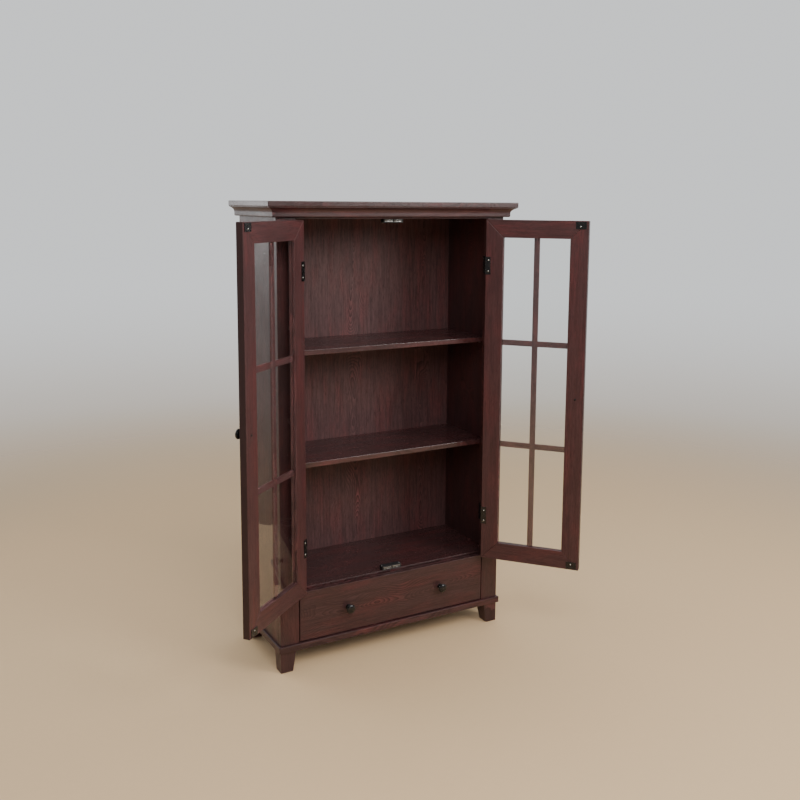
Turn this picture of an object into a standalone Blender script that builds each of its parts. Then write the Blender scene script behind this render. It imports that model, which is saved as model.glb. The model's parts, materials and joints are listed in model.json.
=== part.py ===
"""Glazed two-door display bookcase with a cornice, two shelves and a base drawer.

Units are metres, +Z is up and the front faces -Y. The cabinet is laid out with x = 0 on its centre
line, y = 0 on the front face of its stiles and z = 0 on the floor. The doors stand open at the angles
named below. At the end the whole model is shifted so that its box is centred over the origin.
"""

import math

import bmesh
import bpy
from mathutils import Matrix, Vector

# ---------------------------------------------------------------- carcass
HEIGHT = 1.385
CARCASS_WIDTH = 0.764
CARCASS_DEPTH = 0.300
STILE_WIDTH = 0.059
FACE_THICKNESS = 0.020          # stiles and top rail of the face frame
SIDE_THICKNESS = 0.018
BACK_THICKNESS = 0.003
PANEL_THICKNESS = 0.015         # top panel, floor and both shelves
SLAB_THICKNESS = 0.016
SLAB_OVERHANG = 0.034
TOP_RAIL_HEIGHT = 0.034
FOOT_HEIGHT = 0.064
FOOT_TOP_WIDTH = 0.049
FOOT_BOTTOM_WIDTH = 0.038
BASE_THICKNESS = 0.020
BASE_OVERHANG = 0.007
FLOOR_TOP = 0.244
LOWER_SHELF_TOP = 0.613
UPPER_SHELF_TOP = 0.952
SHELF_SETBACK = 0.055           # front plane to the front edge of a shelf

# ---------------------------------------------------------------- cornice
CORNICE_HEIGHT = 0.029
CORNICE_FOOT = 0.0155           # how far its lower band stands out
CORNICE_HEAD = 0.0315           # how far its upper edge stands out
CORNICE_BAND = 0.012            # height of the lower band
CORNICE_BAND_ROUND = 0.0035     # radius of the band's lower edge
CORNICE_LIP = 0.0015            # height of the plain edge above the cove
CORNICE_SWEEP = math.radians(66)
CORNICE_ARC_STEPS = 8

# ---------------------------------------------------------------- doors
DOOR_THICKNESS = 0.020
DOOR_MEMBER_WIDTH = 0.055
DOOR_TOP_GAP = 0.0025
DOOR_BOTTOM_GAP = 0.0025
MEETING_GAP = 0.0026
LEFT_DOOR_OPEN = math.radians(141.0)
RIGHT_DOOR_OPEN = math.radians(130.0)
BAR_WIDTH = 0.0175
BAR_THICKNESS = 0.0065
BAR_SETBACK = 0.003             # outer face of the door to the outer face of the bars
GLASS_THICKNESS = 0.003
GLASS_IN_GROOVE = 0.007
GLASS_EDGE_PLAY = 0.0008
DOOR_KNOB_INSET = 0.026         # free edge of the door to the knob

# ---------------------------------------------------------------- hinges
HINGE_HEIGHT = 0.055
HINGE_FROM_END = 0.1425         # end of the door to the middle of the hinge
HINGE_GAP = 0.0032              # stile to door edge
HINGE_LEAF = 0.001
HINGE_WEB = 0.0009              # strip between a knuckle and its leaf
HINGE_FLANGE = 0.016
PIN_STANDOFF = 0.0035           # pin in front of the door's outer face
PIN_RADIUS = 0.0012
BARREL_RADIUS = 0.003
KNUCKLE_LENGTH = 0.018          # the door leaf's middle knuckle
KNUCKLE_PLAY = 0.0004
PIN_PROUD = 0.0008

# ---------------------------------------------------------------- catches and strike plates
CATCH_LENGTH = 0.066
CATCH_DEPTH = 0.021
CATCH_HEIGHT = 0.012
CATCH_PLAY = 0.0007
MAGNET_LENGTH = 0.026
MAGNET_HEIGHT = 0.0062
MAGNET_DEPTH = 0.002
MAGNET_SPACING = 0.031
STRIKE_WIDTH = 0.032
STRIKE_HEIGHT = 0.0225
STRIKE_THICKNESS = 0.0012
STRIKE_FROM_SIDE = 0.007
STRIKE_FROM_END = 0.0025

# ---------------------------------------------------------------- drawer
DRAWER_FRONT_THICKNESS = 0.018
DRAWER_FRONT_GAP = 0.0030
DRAWER_FRONT_LAP = 0.009        # how far the front rises in front of the cabinet floor
DRAWER_WALL = 0.012
DRAWER_WALL_HEIGHT = 0.105
DRAWER_BOTTOM_THICKNESS = 0.003
DRAWER_BOTTOM_RISE = 0.010
DRAWER_GROOVE = 0.006
DRAWER_SIDE_INSET = 0.012       # edge of the cabinet opening to the drawer side
DRAWER_BACK_SPACE = 0.022
DRAWER_KNOB_SPACING = 0.325
RUNNER_PLAY = 0.0006
RUNNER_LEDGE = 0.010
RUNNER_LEDGE_WIDTH = 0.014
RUNNER_GUIDE_HEIGHT = 0.040

# ---------------------------------------------------------------- knobs
KNOB_RADIUS = 0.0140
KNOB_LENGTH = 0.0245
KNOB_NECK_RADIUS = 0.0055
KNOB_BASE_RADIUS = 0.0085
KNOB_BASE_HEIGHT = 0.0025
KNOB_HEAD_HEIGHT = 0.0115
KNOB_STEPS = 24
KNOB_ARC_STEPS = 4

# ---------------------------------------------------------------- shelf pins
PEG_RADIUS = 0.0025
PEG_LENGTH = 0.009
PIN_BODY_RADIUS = 0.0035
PIN_BODY_LENGTH = 0.008
PIN_HOLE_PITCH = 0.032
PIN_HOLE_ROWS = (-1, 0, 1)
PIN_FROM_SHELF_EDGE = 0.037
PIN_SIDES = 16

# ---------------------------------------------------------------- fits and edges
GAP = 0.0003                    # between pieces that touch
WOOD_EDGE = 0.0010
METAL_EDGE = 0.0003
KNUCKLE_SIDES = 24
CUT_MARGIN = 0.002              # how far a cutter runs past the face that it opens

# ---------------------------------------------------------------- derived heights and planes
HALF_WIDTH = CARCASS_WIDTH / 2
HALF_OPENING = HALF_WIDTH - STILE_WIDTH
INNER_HALF = HALF_WIDTH - SIDE_THICKNESS
BASE_TOP = FOOT_HEIGHT + BASE_THICKNESS
SLAB_BOTTOM = HEIGHT - SLAB_THICKNESS
RAIL_BOTTOM = SLAB_BOTTOM - TOP_RAIL_HEIGHT
FLOOR_BOTTOM = FLOOR_TOP - PANEL_THICKNESS
BACK_FRONT = CARCASS_DEPTH - BACK_THICKNESS
DRAWER_FRONT_BOTTOM = BASE_TOP + DRAWER_FRONT_GAP
DRAWER_FRONT_TOP = FLOOR_BOTTOM + DRAWER_FRONT_LAP
DOOR_BOTTOM = DRAWER_FRONT_TOP + DOOR_BOTTOM_GAP
DOOR_TOP = RAIL_BOTTOM - DOOR_TOP_GAP
DOOR_EDGE = HINGE_GAP / 2                                   # pin to the door's hinge edge
DOOR_WIDTH = HALF_OPENING - HINGE_GAP - MEETING_GAP / 2
CATCH_FRONT = DOOR_THICKNESS + GAP + STRIKE_THICKNESS + CATCH_PLAY
FLOOR_FRONT = max(FACE_THICKNESS, CATCH_FRONT) + CATCH_PLAY
DRAWER_SIDE_OUTER = HALF_OPENING - DRAWER_SIDE_INSET
DRAWER_BACK = BACK_FRONT - DRAWER_BACK_SPACE
DRAWER_BOX_BOTTOM = BASE_TOP + GAP + RUNNER_LEDGE + RUNNER_PLAY
DRAWER_BOX_TOP = DRAWER_BOX_BOTTOM + DRAWER_WALL_HEIGHT

# ---------------------------------------------------------------- finishes
FINISHES = {
    "mahogany_foil": {"colour": (0.072, 0.030, 0.026), "roughness": 0.42},
    "mahogany_door": {"colour": (0.078, 0.031, 0.028), "roughness": 0.40},
    "mahogany_back": {"colour": (0.045, 0.023, 0.020), "roughness": 0.55},
    "drawer_board": {"colour": (0.060, 0.030, 0.026), "roughness": 0.55},
    "clear_glass": {"colour": (0.95, 0.97, 0.96), "roughness": 0.02, "transmission": 1.0},
    "black_iron": {"colour": (0.012, 0.012, 0.013), "roughness": 0.38, "metallic": 0.7},
    "black_plastic": {"colour": (0.018, 0.018, 0.019), "roughness": 0.50},
    "bright_steel": {"colour": (0.60, 0.60, 0.60), "roughness": 0.30, "metallic": 1.0},
}


def clear_scene():
    """Remove every object and collection that the new file came with."""
    for obj in list(bpy.data.objects):
        bpy.data.objects.remove(obj, do_unlink=True)
    for collection in list(bpy.data.collections):
        bpy.data.collections.remove(collection)


def new_collection(name):
    collection = bpy.data.collections.new(name)
    bpy.context.scene.collection.children.link(collection)
    return collection


def finish(name):
    """The Principled material for one of the named finishes, made once."""
    if name in bpy.data.materials:
        return bpy.data.materials[name]
    values = FINISHES[name]
    material = bpy.data.materials.new(name)
    material.use_nodes = True
    shader = material.node_tree.nodes["Principled BSDF"]
    shader.inputs["Base Color"].default_value = (*values["colour"], 1.0)
    shader.inputs["Roughness"].default_value = values["roughness"]
    shader.inputs["Metallic"].default_value = values.get("metallic", 0.0)
    shader.inputs["Transmission Weight"].default_value = values.get("transmission", 0.0)
    material.diffuse_color = (*values["colour"], 1.0)
    return material


class Place:
    """Where new pieces go: their parent empty, and which way +x runs from it (1 or -1)."""

    def __init__(self, parent, hand=1):
        self.parent = parent
        self.hand = hand


def put(name, mesh, place, location=(0.0, 0.0, 0.0), finish_name=None):
    """Make an object from a mesh; with no finish it is a cutter or an operand."""
    obj = bpy.data.objects.new(name, mesh)
    obj.parent = place.parent
    obj.location = location
    if finish_name is None:
        obj.hide_render = True
        obj.display_type = "WIRE"
        CUTTERS.objects.link(obj)
    else:
        obj.data.materials.append(finish(finish_name))
        PARTS.objects.link(obj)
    return obj


def bevel(obj, width, segments):
    modifier = obj.modifiers.new("edges", "BEVEL")
    modifier.width = width
    modifier.segments = segments
    modifier.limit_method = "ANGLE"
    modifier.angle_limit = math.radians(40)
    return obj


def boolean(obj, operand, operation="DIFFERENCE"):
    modifier = obj.modifiers.new(operation.lower(), "BOOLEAN")
    modifier.operation = operation
    modifier.solver = "EXACT"
    modifier.object = operand
    return obj


def box(name, place, low, high, finish_name=None, edge=WOOD_EDGE, segments=2):
    """A block between two corners, given as (x, y, z) with x measured along the place's hand."""
    size = [b - a for a, b in zip(low, high)]
    centre = [(a + b) / 2 for a, b in zip(low, high)]
    centre[0] *= place.hand
    mesh = bpy.data.meshes.new(name)
    shape = bmesh.new()
    bmesh.ops.create_cube(shape, size=1.0, matrix=Matrix.Diagonal((*size, 1.0)))
    shape.to_mesh(mesh)
    shape.free()
    obj = put(name, mesh, place, centre, finish_name)
    if finish_name is not None:
        bevel(obj, edge, segments)
    return obj


def cylinder_mesh(name, radius, length, sides, axis):
    """A cylinder mesh centred on the origin along axis X, Y or Z."""
    turn = {"X": Matrix.Rotation(math.pi / 2, 4, "Y"), "Y": Matrix.Rotation(math.pi / 2, 4, "X")}
    mesh = bpy.data.meshes.new(name)
    shape = bmesh.new()
    bmesh.ops.create_cone(shape, cap_ends=True, segments=sides, radius1=radius, radius2=radius,
                          depth=length, matrix=turn.get(axis, Matrix.Identity(4)))
    shape.to_mesh(mesh)
    shape.free()
    return mesh


def outline_mesh(name, outline, thickness, plane):
    """A flat outline of (a, b) points, extruded equally both ways out of plane XY, XZ or YZ."""
    curve = bpy.data.curves.new(name, "CURVE")
    curve.dimensions = "2D"
    curve.fill_mode = "BOTH"
    curve.extrude = thickness / 2
    spline = curve.splines.new("POLY")
    spline.points.add(len(outline) - 1)
    for point, (a, b) in zip(spline.points, outline):
        point.co = (a, b, 0.0, 1.0)
    spline.use_cyclic_u = True
    guide = bpy.data.objects.new(name + "_outline", curve)
    CUTTERS.objects.link(guide)
    bpy.context.view_layer.update()
    evaluated = guide.evaluated_get(bpy.context.evaluated_depsgraph_get())
    mesh = bpy.data.meshes.new_from_object(evaluated)
    bpy.data.objects.remove(guide, do_unlink=True)
    shape = bmesh.new()
    shape.from_mesh(mesh)
    bmesh.ops.remove_doubles(shape, verts=shape.verts, dist=1e-6)
    stand = {"XY": Matrix.Identity(4),
             "XZ": Matrix.Rotation(math.pi / 2, 4, "X"),
             "YZ": Matrix.Rotation(math.pi / 2, 4, "Z") @ Matrix.Rotation(math.pi / 2, 4, "X")}[plane]
    bmesh.ops.transform(shape, matrix=stand, verts=shape.verts)
    bmesh.ops.recalc_face_normals(shape, faces=shape.faces)
    shape.to_mesh(mesh)
    shape.free()
    mesh.name = name
    return mesh


def turned(name, place, profile, location, rotation, finish_name, steps):
    """A profile of (radius, height) points, top to bottom, turned about the local Z axis."""
    mesh = bpy.data.meshes.new(name)
    points = [(radius, 0.0, height) for radius, height in profile]
    edges = [(i, i + 1) for i in range(len(points) - 1)]
    mesh.from_pydata(points, edges, [])
    obj = put(name, mesh, place, location, finish_name)
    obj.rotation_euler = rotation
    screw = obj.modifiers.new("turn", "SCREW")
    screw.steps = steps
    screw.render_steps = steps
    screw.use_merge_vertices = True
    screw.merge_threshold = 0.00001
    screw.use_smooth_shade = True
    return obj


# ================================================================ carcass
def foot(name, place, side, front):
    """A leg that tapers on its two inner sides; its outer faces stay flush with the carcass."""
    mesh = bpy.data.meshes.new(name)
    shape = bmesh.new()
    height = FOOT_HEIGHT - GAP
    scale = Matrix.Diagonal((FOOT_TOP_WIDTH, FOOT_TOP_WIDTH, height, 1.0))
    bmesh.ops.create_cube(shape, size=1.0, matrix=scale)
    inward = Vector((-side, 1 if front else -1))
    for vertex in shape.verts:
        for axis in (0, 1):
            if vertex.co.z < 0 and vertex.co[axis] * inward[axis] > 0:
                vertex.co[axis] -= inward[axis] * (FOOT_TOP_WIDTH - FOOT_BOTTOM_WIDTH)
    shape.to_mesh(mesh)
    shape.free()
    half = FOOT_TOP_WIDTH / 2
    centre_x = side * (HALF_WIDTH - half)
    centre_y = half if front else CARCASS_DEPTH - half
    bevel(put(name, mesh, place, (centre_x, centre_y, height / 2), "mahogany_foil"), WOOD_EDGE, 2)


def pin_positions():
    """The y positions of the two shelf pins on one side, front then back."""
    return (SHELF_SETBACK + PIN_FROM_SHELF_EDGE, BACK_FRONT - GAP - PIN_FROM_SHELF_EDGE)


def pin_height():
    return UPPER_SHELF_TOP - PANEL_THICKNESS - GAP - PIN_BODY_RADIUS


def side_panel(name, place, side):
    low_x = INNER_HALF if side > 0 else -HALF_WIDTH
    panel = box(name, place, (low_x, FACE_THICKNESS + GAP, BASE_TOP + GAP),
                (low_x + SIDE_THICKNESS, CARCASS_DEPTH, SLAB_BOTTOM - GAP), "mahogany_foil")
    holes = bmesh.new()
    depth = PEG_LENGTH + GAP + CUT_MARGIN
    centre_x = side * (INNER_HALF - CUT_MARGIN + depth / 2)
    for y in pin_positions():
        for row in PIN_HOLE_ROWS:
            where = Matrix.Translation((centre_x, y, pin_height() + row * PIN_HOLE_PITCH))
            bmesh.ops.create_cone(holes, cap_ends=True, segments=PIN_SIDES, depth=depth,
                                  radius1=PEG_RADIUS + GAP, radius2=PEG_RADIUS + GAP,
                                  matrix=where @ Matrix.Rotation(math.pi / 2, 4, "Y"))
    mesh = bpy.data.meshes.new(name + "_holes")
    holes.to_mesh(mesh)
    holes.free()
    boolean(panel, put(name + "_holes", mesh, place))


def shelf_pin(name, place, side, y):
    """A stepped peg: its thin end sits in the panel's hole and the shelf lies on its body."""
    profile = [(0.0, PIN_BODY_LENGTH), (PIN_BODY_RADIUS - METAL_EDGE, PIN_BODY_LENGTH),
               (PIN_BODY_RADIUS, PIN_BODY_LENGTH - METAL_EDGE), (PIN_BODY_RADIUS, 0.0),
               (PEG_RADIUS, 0.0), (PEG_RADIUS, -PEG_LENGTH), (0.0, -PEG_LENGTH)]
    location = (side * (INNER_HALF - GAP), y, pin_height())
    turned(name, place, profile, location, (0.0, -side * math.pi / 2, 0.0), "bright_steel", PIN_SIDES)


def cornice_profile():
    """The moulding's section as (standing out, height) points: a rounded band, a hollow cove, a lip."""
    radius = CORNICE_BAND_ROUND
    points = [(GAP, 0.0)]
    for step in range(CORNICE_ARC_STEPS // 2 + 1):
        angle = math.pi / 2 * step / (CORNICE_ARC_STEPS // 2)
        points.append((CORNICE_FOOT - radius * (1 - math.sin(angle)), radius * (1 - math.cos(angle))))
    cove_width = (CORNICE_HEAD - CORNICE_FOOT) / (1 - math.cos(CORNICE_SWEEP))
    cove_height = (CORNICE_HEIGHT - CORNICE_LIP - CORNICE_BAND) / math.sin(CORNICE_SWEEP)
    for step in range(CORNICE_ARC_STEPS + 1):
        angle = CORNICE_SWEEP * step / CORNICE_ARC_STEPS
        points.append((CORNICE_FOOT + cove_width * (1 - math.cos(angle)),
                       CORNICE_BAND + cove_height * math.sin(angle)))
    return points + [(CORNICE_HEAD, CORNICE_HEIGHT), (GAP, CORNICE_HEIGHT)]


def cornice_run(name, place, side):
    """One run of the cornice: side 0 is the front, -1 and 1 the sides; front corners are mitred."""
    base = SLAB_BOTTOM - GAP - CORNICE_HEIGHT
    mitre = GAP / math.sqrt(2)
    length = 1.0
    if side == 0:
        outline = [(-out, height) for out, height in cornice_profile()]
        mesh = outline_mesh(name, outline, length, "YZ")
        for vertex in mesh.vertices:
            out = -vertex.co.y
            end = HALF_WIDTH + out - mitre
            vertex.co.x = math.copysign(end, vertex.co.x)
    else:
        outline = [(side * (HALF_WIDTH + out), height) for out, height in cornice_profile()]
        mesh = outline_mesh(name, outline, length, "XZ")
        for vertex in mesh.vertices:
            out = abs(vertex.co.x) - HALF_WIDTH
            front = -out + mitre
            vertex.co.y = CARCASS_DEPTH if vertex.co.y > 0 else front
    put(name, mesh, place, (0.0, 0.0, base), "mahogany_foil")


def magnetic_catch(name, place, low_z):
    """A double catch: a body with two pockets in its front for the magnets."""
    half = CATCH_LENGTH / 2
    body = box(name, place, (-half, CATCH_FRONT, low_z),
               (half, CATCH_FRONT + CATCH_DEPTH, low_z + CATCH_HEIGHT), "black_plastic", 0.0008, 1)
    middle = low_z + CATCH_HEIGHT / 2
    for side in (-1, 1):
        centre = side * MAGNET_SPACING / 2
        pocket = box(f"{name}_pocket_{side}", place,
                     (centre - MAGNET_LENGTH / 2, CATCH_FRONT - CUT_MARGIN, middle - MAGNET_HEIGHT / 2),
                     (centre + MAGNET_LENGTH / 2, CATCH_FRONT + MAGNET_DEPTH, middle + MAGNET_HEIGHT / 2))
        boolean(body, pocket)


def drawer_runner(name, place):
    """An L-shaped batten: a ledge under the drawer side and a guide beside it."""
    inner = DRAWER_SIDE_OUTER - RUNNER_LEDGE_WIDTH
    guide = DRAWER_SIDE_OUTER + RUNNER_PLAY
    outer = INNER_HALF - GAP
    floor = BASE_TOP + GAP
    outline = [(inner, floor), (outer, floor), (outer, floor + RUNNER_GUIDE_HEIGHT),
               (guide, floor + RUNNER_GUIDE_HEIGHT), (guide, floor + RUNNER_LEDGE),
               (inner, floor + RUNNER_LEDGE)]
    outline = [(place.hand * x, z) for x, z in outline]
    front = FACE_THICKNESS + GAP
    back = BACK_FRONT - GAP
    mesh = outline_mesh(name, outline, back - front, "XZ")
    obj = put(name, mesh, place, (0.0, (front + back) / 2, 0.0), "drawer_board")
    bevel(obj, WOOD_EDGE, 1)


def build_carcass(place):
    inner = INNER_HALF - GAP
    back = BACK_FRONT - GAP
    panel_y = (FACE_THICKNESS + GAP, back)
    for side, word in ((-1, "left"), (1, "right")):
        side_panel(f"side_panel_{word}", place, side)
        low_x = HALF_OPENING if side > 0 else -HALF_WIDTH
        box(f"front_stile_{word}", place, (low_x, 0.0, BASE_TOP + GAP),
            (low_x + STILE_WIDTH, FACE_THICKNESS, SLAB_BOTTOM - GAP), "mahogany_foil")
        foot(f"foot_front_{word}", place, side, True)
        foot(f"foot_back_{word}", place, side, False)
        cornice_run(f"cornice_{word}", place, side)
        drawer_runner(f"drawer_runner_{word}", Place(place.parent, side))
        for y, end in zip(pin_positions(), ("front", "back")):
            shelf_pin(f"shelf_pin_{word}_{end}", place, side, y)
    cornice_run("cornice_front", place, 0)
    box("top_rail", place, (GAP - HALF_OPENING, 0.0, RAIL_BOTTOM),
        (HALF_OPENING - GAP, FACE_THICKNESS, SLAB_BOTTOM - GAP), "mahogany_foil")
    box("top_panel", place, (-inner, panel_y[0], RAIL_BOTTOM),
        (inner, panel_y[1], RAIL_BOTTOM + PANEL_THICKNESS), "mahogany_foil")
    reach = HALF_WIDTH + SLAB_OVERHANG
    box("top_slab", place, (-reach, -SLAB_OVERHANG, SLAB_BOTTOM),
        (reach, CARCASS_DEPTH, HEIGHT), "mahogany_foil", 0.0025, 3)
    box("cabinet_floor", place, (-inner, FLOOR_FRONT, FLOOR_BOTTOM), (inner, back, FLOOR_TOP),
        "mahogany_foil")
    reach = HALF_WIDTH + BASE_OVERHANG
    box("base_board", place, (-reach, -BASE_OVERHANG, FOOT_HEIGHT), (reach, CARCASS_DEPTH, BASE_TOP),
        "mahogany_foil", 0.002, 2)
    box("back_panel", place, (-inner, BACK_FRONT, BASE_TOP + GAP),
        (inner, CARCASS_DEPTH, SLAB_BOTTOM - GAP), "mahogany_back", METAL_EDGE, 1)
    for name, top in (("lower_shelf", LOWER_SHELF_TOP), ("upper_shelf", UPPER_SHELF_TOP)):
        box(name, place, (-inner, SHELF_SETBACK, top - PANEL_THICKNESS), (inner, back, top),
            "mahogany_foil")
    magnetic_catch("catch_upper", place, RAIL_BOTTOM - GAP - CATCH_HEIGHT)
    magnetic_catch("catch_lower", place, FLOOR_TOP + GAP)


# ================================================================ hinges
def hinge_leaf(name, place, middle, face_depth, knuckles, bored, finish_name="black_iron"):
    """A leaf that wraps an edge: a strip beside the edge, a flange behind it, and its knuckles.

    The place's origin is on the pin, its hand points towards the piece that the leaf is fixed to,
    and knuckles lists the (low, high) heights of the barrel stretches, from the hinge's middle.
    """
    hand = place.hand
    near = DOOR_EDGE - GAP - HINGE_LEAF
    far = DOOR_EDGE - GAP
    back = PIN_STANDOFF + face_depth + GAP
    strip = [(near, PIN_STANDOFF), (far, PIN_STANDOFF), (far, back), (DOOR_EDGE + HINGE_FLANGE, back),
             (DOOR_EDGE + HINGE_FLANGE, back + HINGE_LEAF), (near, back + HINGE_LEAF)]
    mesh = outline_mesh(name, [(hand * x, y) for x, y in strip], HINGE_HEIGHT, "XY")
    leaf = put(name, mesh, place, (0.0, 0.0, middle), finish_name)
    web_middle = hand * (near + far) / 2
    overlap = PIN_STANDOFF + HINGE_LEAF
    for number, (low, high) in enumerate(knuckles):
        length = high - low
        height = middle + (low + high) / 2
        barrel = cylinder_mesh(f"{name}_barrel_{number}", BARREL_RADIUS, length, KNUCKLE_SIDES, "Z")
        boolean(leaf, put(barrel.name, barrel, place, (0.0, 0.0, height)), "UNION")
        web_mesh = outline_mesh(f"{name}_web_{number}", [
            (web_middle - HINGE_WEB / 2, 0.0), (web_middle + HINGE_WEB / 2, 0.0),
            (web_middle + HINGE_WEB / 2, overlap), (web_middle - HINGE_WEB / 2, overlap)],
            length - 2 * METAL_EDGE, "XY")
        boolean(leaf, put(web_mesh.name, web_mesh, place, (0.0, 0.0, height)), "UNION")
    if bored:
        bore = cylinder_mesh(f"{name}_bore", PIN_RADIUS + GAP, HINGE_HEIGHT, PIN_SIDES, "Z")
        boolean(leaf, put(bore.name, bore, place, (0.0, 0.0, middle)))
    else:
        length = HINGE_HEIGHT + 2 * PIN_PROUD
        pin = cylinder_mesh(f"{name}_pin", PIN_RADIUS, length, PIN_SIDES, "Z")
        boolean(leaf, put(pin.name, pin, place, (0.0, 0.0, middle)), "UNION")
    return leaf


def hinge_middles():
    return {"upper": DOOR_TOP - HINGE_FROM_END, "lower": DOOR_BOTTOM + HINGE_FROM_END}


def build_frame_leaves(frame, side, word):
    """The cabinet leaves: two end knuckles each, and the pin."""
    empty = bpy.data.objects.new(f"{word}_pin_line", None)
    empty.parent = frame
    empty.location = (side * (HALF_OPENING - DOOR_EDGE), -PIN_STANDOFF, 0.0)
    GUIDES.objects.link(empty)
    near = KNUCKLE_LENGTH / 2 + KNUCKLE_PLAY
    far = HINGE_HEIGHT / 2
    for end, middle in hinge_middles().items():
        hinge_leaf(f"frame_hinge_leaf_{word}_{end}", Place(empty, side), middle, FACE_THICKNESS,
                   [(-far, -near), (near, far)], False)


# ================================================================ doors
def knob(name, place, location):
    """A mushroom knob turned about its screw, standing out along -y."""
    top = KNOB_LENGTH
    rim = top - 0.45 * KNOB_HEAD_HEIGHT
    under = top - KNOB_HEAD_HEIGHT
    profile = []
    for step in range(KNOB_ARC_STEPS + 1):
        angle = math.pi / 2 * step / KNOB_ARC_STEPS
        profile.append((KNOB_RADIUS * math.sin(angle), rim + (top - rim) * math.cos(angle)))
    for step in range(1, KNOB_ARC_STEPS + 1):
        angle = math.pi / 2 * step / KNOB_ARC_STEPS
        radius = KNOB_NECK_RADIUS + (KNOB_RADIUS - KNOB_NECK_RADIUS) * math.cos(angle)
        profile.append((radius, rim - (rim - under) * math.sin(angle)))
    profile += [(KNOB_NECK_RADIUS, KNOB_BASE_HEIGHT + 0.001), (KNOB_BASE_RADIUS, KNOB_BASE_HEIGHT),
                (KNOB_BASE_RADIUS, 0.0), (0.0, 0.0)]
    turned(name, place, profile, location, (math.pi / 2, 0.0, 0.0), "black_iron", KNOB_STEPS)


def door_members(word, place, front):
    """The four mitred frame members, grooved together for the glass."""
    near = DOOR_EDGE
    far = DOOR_EDGE + DOOR_WIDTH
    width = DOOR_MEMBER_WIDTH
    cut = GAP / math.sqrt(2)
    low = DOOR_BOTTOM
    high = DOOR_TOP
    outlines = {
        "hinge_stile": [(near, low + cut), (near + width, low + width + cut),
                        (near + width, high - width - cut), (near, high - cut)],
        "meeting_stile": [(far, low + cut), (far, high - cut),
                          (far - width, high - width - cut), (far - width, low + width + cut)],
        "top_rail": [(near + cut, high), (near + width + cut, high - width),
                     (far - width - cut, high - width), (far - cut, high)],
        "bottom_rail": [(near + cut, low), (far - cut, low),
                        (far - width - cut, low + width), (near + width + cut, low + width)],
    }
    glass = glass_limits()
    groove_low = front + BAR_SETBACK + BAR_THICKNESS
    groove = box(f"{word}_glass_groove", place,
                 (glass[0] - GLASS_EDGE_PLAY, groove_low, glass[2] - GLASS_EDGE_PLAY),
                 (glass[1] + GLASS_EDGE_PLAY, groove_low + GLASS_THICKNESS + 2 * GAP,
                  glass[3] + GLASS_EDGE_PLAY))
    for member, outline in outlines.items():
        name = f"{word}_{member}"
        mesh = outline_mesh(name, [(place.hand * x, z) for x, z in outline], DOOR_THICKNESS, "XZ")
        obj = put(name, mesh, place, (0.0, front + DOOR_THICKNESS / 2, 0.0), "mahogany_door")
        bevel(obj, WOOD_EDGE, 2)
        boolean(obj, groove)


def opening_limits():
    """The clear opening of a door frame: near x, far x, low z, high z."""
    return (DOOR_EDGE + DOOR_MEMBER_WIDTH, DOOR_EDGE + DOOR_WIDTH - DOOR_MEMBER_WIDTH,
            DOOR_BOTTOM + DOOR_MEMBER_WIDTH, DOOR_TOP - DOOR_MEMBER_WIDTH)


def glass_limits():
    near, far, low, high = opening_limits()
    return (near - GLASS_IN_GROOVE, far + GLASS_IN_GROOVE, low - GLASS_IN_GROOVE, high + GLASS_IN_GROOVE)


def glazing_bars(name, place, front):
    """One lattice: an upright bar, crossed by two level bars at the thirds of the opening."""
    near, far, low, high = opening_limits()
    near, far, low, high = near + GAP, far - GAP, low + GAP, high - GAP
    half = BAR_WIDTH / 2
    middle = (near + far) / 2
    thirds = [low + (high - low) * third / 3 for third in (1, 2)]
    right = [(middle + half, low)]
    left = [(middle - half, low)]
    for height in thirds:
        right += [(middle + half, height - half), (far, height - half),
                  (far, height + half), (middle + half, height + half)]
        left += [(middle - half, height - half), (near, height - half),
                 (near, height + half), (middle - half, height + half)]
    outline = right + [(middle + half, high), (middle - half, high)] + left[::-1]
    mesh = outline_mesh(name, [(place.hand * x, z) for x, z in outline], BAR_THICKNESS, "XZ")
    obj = put(name, mesh, place, (0.0, front + BAR_SETBACK + BAR_THICKNESS / 2, 0.0), "mahogany_door")
    bevel(obj, WOOD_EDGE, 2)


def build_door(frame, side, word, angle):
    """One door on its pin line: side -1 hangs on the left, 1 on the right."""
    empty = bpy.data.objects.new(f"{word}_door_axis", None)
    empty.parent = frame
    empty.location = (side * (HALF_OPENING - DOOR_EDGE), -PIN_STANDOFF, 0.0)
    empty.rotation_euler = (0.0, 0.0, side * angle)
    GUIDES.objects.link(empty)
    place = Place(empty, -side)
    front = PIN_STANDOFF
    inner_face = front + DOOR_THICKNESS + GAP
    door_members(word, place, front)
    near, far, low, high = glass_limits()
    glass_y = front + BAR_SETBACK + BAR_THICKNESS + GAP
    box(f"{word}_glass", place, (near, glass_y, low), (far, glass_y + GLASS_THICKNESS, high),
        "clear_glass", METAL_EDGE, 1)
    glazing_bars(f"{word}_glazing_bars", place, front)
    free_edge = DOOR_EDGE + DOOR_WIDTH
    knob_x = place.hand * (free_edge - DOOR_KNOB_INSET)
    knob(f"{word}_door_knob", place, (knob_x, front - GAP, (DOOR_BOTTOM + DOOR_TOP) / 2))
    half = KNUCKLE_LENGTH / 2
    for end, middle in hinge_middles().items():
        hinge_leaf(f"{word}_hinge_leaf_{end}", place, middle, DOOR_THICKNESS, [(-half, half)], True)
    strike_far = free_edge - STRIKE_FROM_SIDE
    strikes = {"upper": DOOR_TOP - STRIKE_FROM_END - STRIKE_HEIGHT, "lower": DOOR_BOTTOM + STRIKE_FROM_END}
    for end, base in strikes.items():
        box(f"{word}_strike_{end}", place, (strike_far - STRIKE_WIDTH, inner_face, base),
            (strike_far, inner_face + STRIKE_THICKNESS, base + STRIKE_HEIGHT), "black_iron",
            METAL_EDGE, 1)


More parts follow.
